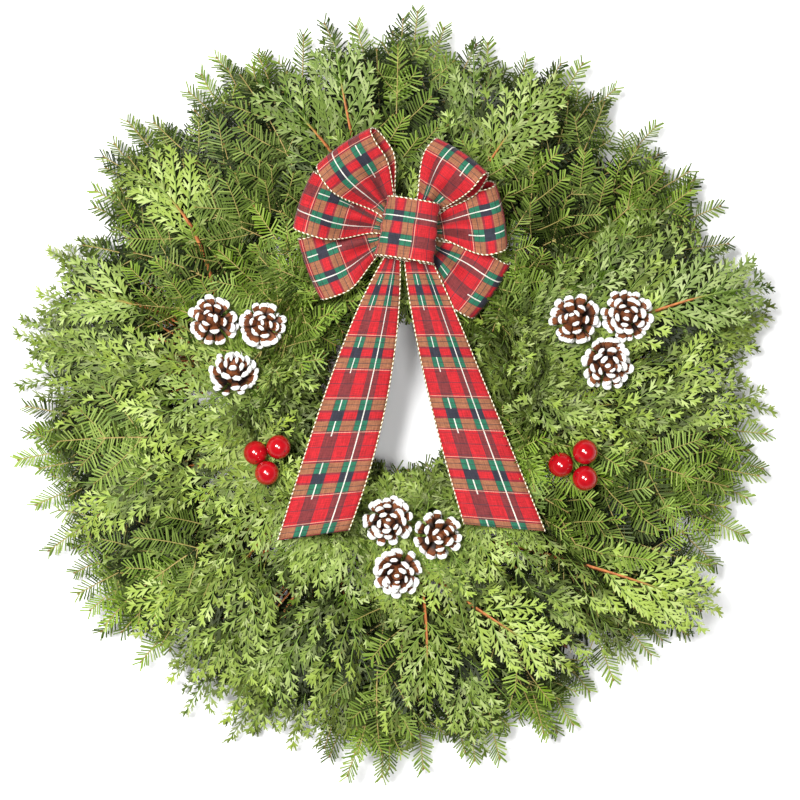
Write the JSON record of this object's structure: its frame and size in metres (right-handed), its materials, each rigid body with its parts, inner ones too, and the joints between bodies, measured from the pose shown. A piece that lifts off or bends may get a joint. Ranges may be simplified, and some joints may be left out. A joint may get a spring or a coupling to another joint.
{
  "type": "wreath",
  "caption": "Round evergreen wreath of fir and cedar greens on a wire ring, with a plaid ribbon bow, white-tipped pine cones and red berries.",
  "frame": {"origin": "centre of the bounding box's bottom face, on the surface that the wreath lies on", "axes": "+Z out of the wreath's face, +Y from the centre towards the bow, +X to the right seen from the front"},
  "size_m": [0.7608, 0.7651, 0.1465],
  "materials": {
    "fir_needles": "satin",
    "cedar_leaves": "satin",
    "plaid_ribbon": "matte",
    "cone_scales": "matte",
    "glossy_berry": "gloss",
    "ring_steel": "satin",
    "florist_wire": "satin"
  },
  "bodies": {
    "root": {"berry_left_1": "glossy_berry", "berry_left_2": "glossy_berry", "berry_left_3": "glossy_berry", "berry_right_1": "glossy_berry", "berry_right_2": "glossy_berry", "berry_right_3": "glossy_berry", "berry_wire_left": "florist_wire", "berry_wire_right": "florist_wire", "bow_knot": "plaid_ribbon", "bow_loop_lower_left": "plaid_ribbon", "bow_loop_lower_right": "plaid_ribbon", "bow_loop_middle_left": "plaid_ribbon", "bow_loop_middle_right": "plaid_ribbon", "bow_loop_upper_left": "plaid_ribbon", "bow_loop_upper_right": "plaid_ribbon", "bow_tail_left": "plaid_ribbon", "bow_tail_right": "plaid_ribbon", "bow_tie_wire": "florist_wire", "cedar_bunch_01": "cedar_leaves", "cedar_bunch_02": "cedar_leaves", "cedar_bunch_03": "cedar_leaves", "cedar_bunch_04": "cedar_leaves", "cedar_bunch_05": "cedar_leaves", "cedar_bunch_06": "cedar_leaves", "cedar_bunch_07": "cedar_leaves", "cedar_bunch_08": "cedar_leaves", "cedar_bunch_09": "cedar_leaves", "cedar_bunch_10": "cedar_leaves", "cedar_bunch_11": "cedar_leaves", "cedar_bunch_12": "cedar_leaves", "cedar_bunch_13": "cedar_leaves", "cone_bottom_1": "cone_scales", "cone_bottom_2": "cone_scales", "cone_bottom_3": "cone_scales", "cone_left_1": "cone_scales", "cone_left_2": "cone_scales", "cone_left_3": "cone_scales", "cone_right_1": "cone_scales", "cone_right_2": "cone_scales", "cone_right_3": "cone_scales", "cone_wire_bottom": "florist_wire", "cone_wire_left": "florist_wire", "cone_wire_right": "florist_wire", "fir_bunch_01": "fir_needles", "fir_bunch_02": "fir_needles", "fir_bunch_03": "fir_needles", "fir_bunch_04": "fir_needles", "fir_bunch_05": "fir_needles", "fir_bunch_06": "fir_needles", "fir_bunch_07": "fir_needles", "fir_bunch_08": "fir_needles", "fir_bunch_09": "fir_needles", "fir_bunch_10": "fir_needles", "fir_bunch_11": "fir_needles", "fir_bunch_12": "fir_needles", "fir_bunch_13": "fir_needles", "fir_bunch_14": "fir_needles", "fir_bunch_15": "fir_needles", "wire_ring": "ring_steel"}
  },
  "joints": []
}
